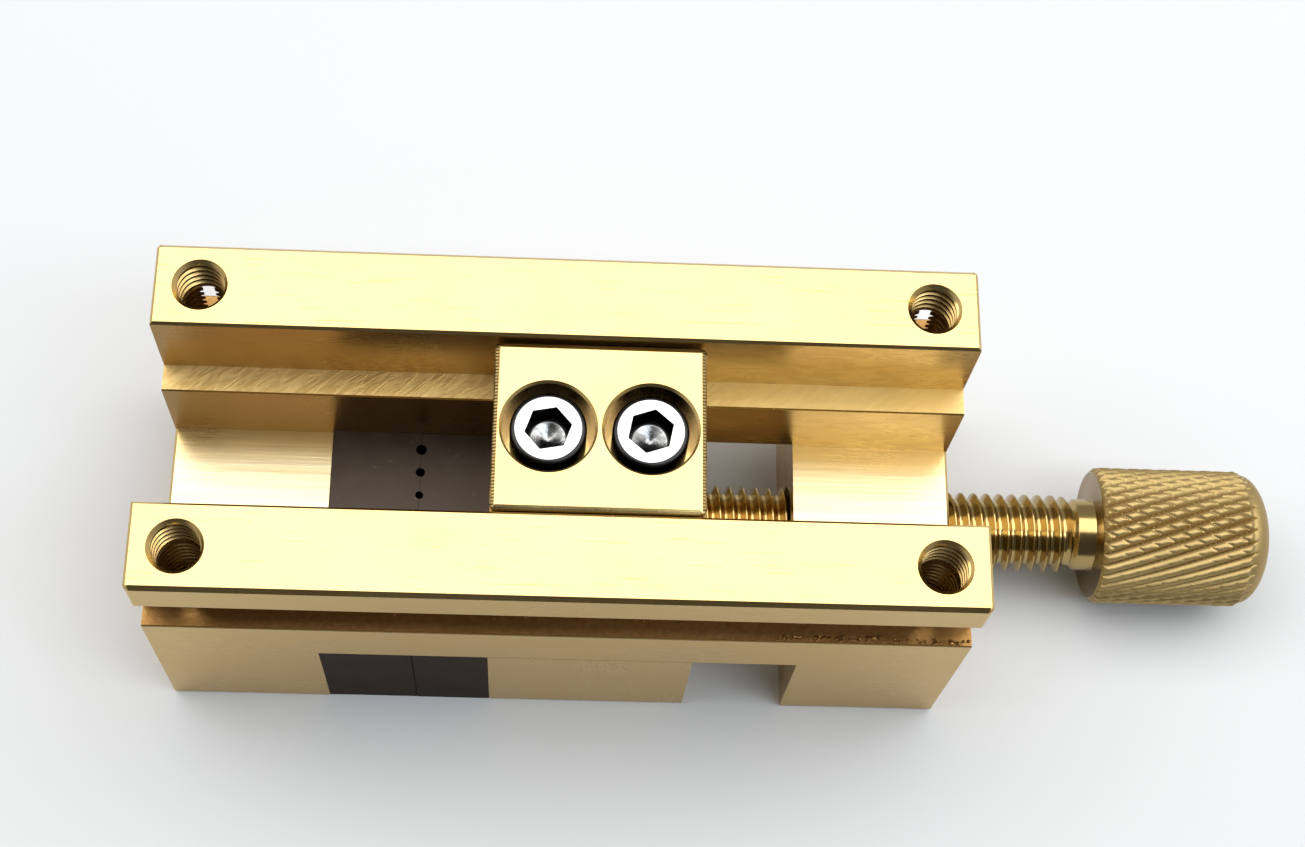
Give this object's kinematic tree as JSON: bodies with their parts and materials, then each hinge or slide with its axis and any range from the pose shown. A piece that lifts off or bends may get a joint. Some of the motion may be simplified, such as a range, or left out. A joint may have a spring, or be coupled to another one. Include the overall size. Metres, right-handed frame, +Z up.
{
  "type": "honing guide",
  "caption": "Slotted brass honing guide: two rails on a body, a slider clamped round its ledges, dark closing jaws and a knurled thumb screw.",
  "frame": {"origin": "on the base plane and the centreline, midway between the body's closed end and the tip of the knob", "axes": "+X along the body towards the knob, +Z up from the base to the rail tops"},
  "size_m": [0.0836, 0.0254, 0.0254],
  "materials": {
    "body_brass": "milled and lightly polished",
    "slider_brass": "milled, satin top",
    "screw_brass": "turned, knurled",
    "jaw_steel": "blackened, ground",
    "cap_screw_steel": "blackened with a bright top",
    "hidden_steel": "blackened"
  },
  "bodies": {
    "guide": {"guide_body": "body_brass", "fixed_jaw": "jaw_steel", "fixed_jaw_screws": "hidden_steel"},
    "slider": {"slider_block": "slider_brass", "slider_plate": "slider_brass", "cap_screw_left": "cap_screw_steel", "cap_screw_right": "cap_screw_steel", "moving_jaw": "jaw_steel", "moving_jaw_screws": "hidden_steel", "retaining_pins": "hidden_steel"},
    "thumb_screw": {"thumb_screw": "screw_brass"}
  },
  "joints": [
    {"name": "slider_slide", "type": "slide", "parent": "guide", "child": "slider", "axis": [1, 0, 0], "range_m": [0, 0.0075]},
    {"name": "screw_spin", "type": "hinge", "parent": "slider", "child": "thumb_screw", "pos_m": [0, 0, 0.0057], "axis": [1, 0, 0], "range_deg": [0, 2701]}
  ],
  "couplings": [
    {"joint": "screw_spin", "follows": "slider_slide", "rad_per_m": 6283.2}
  ]
}
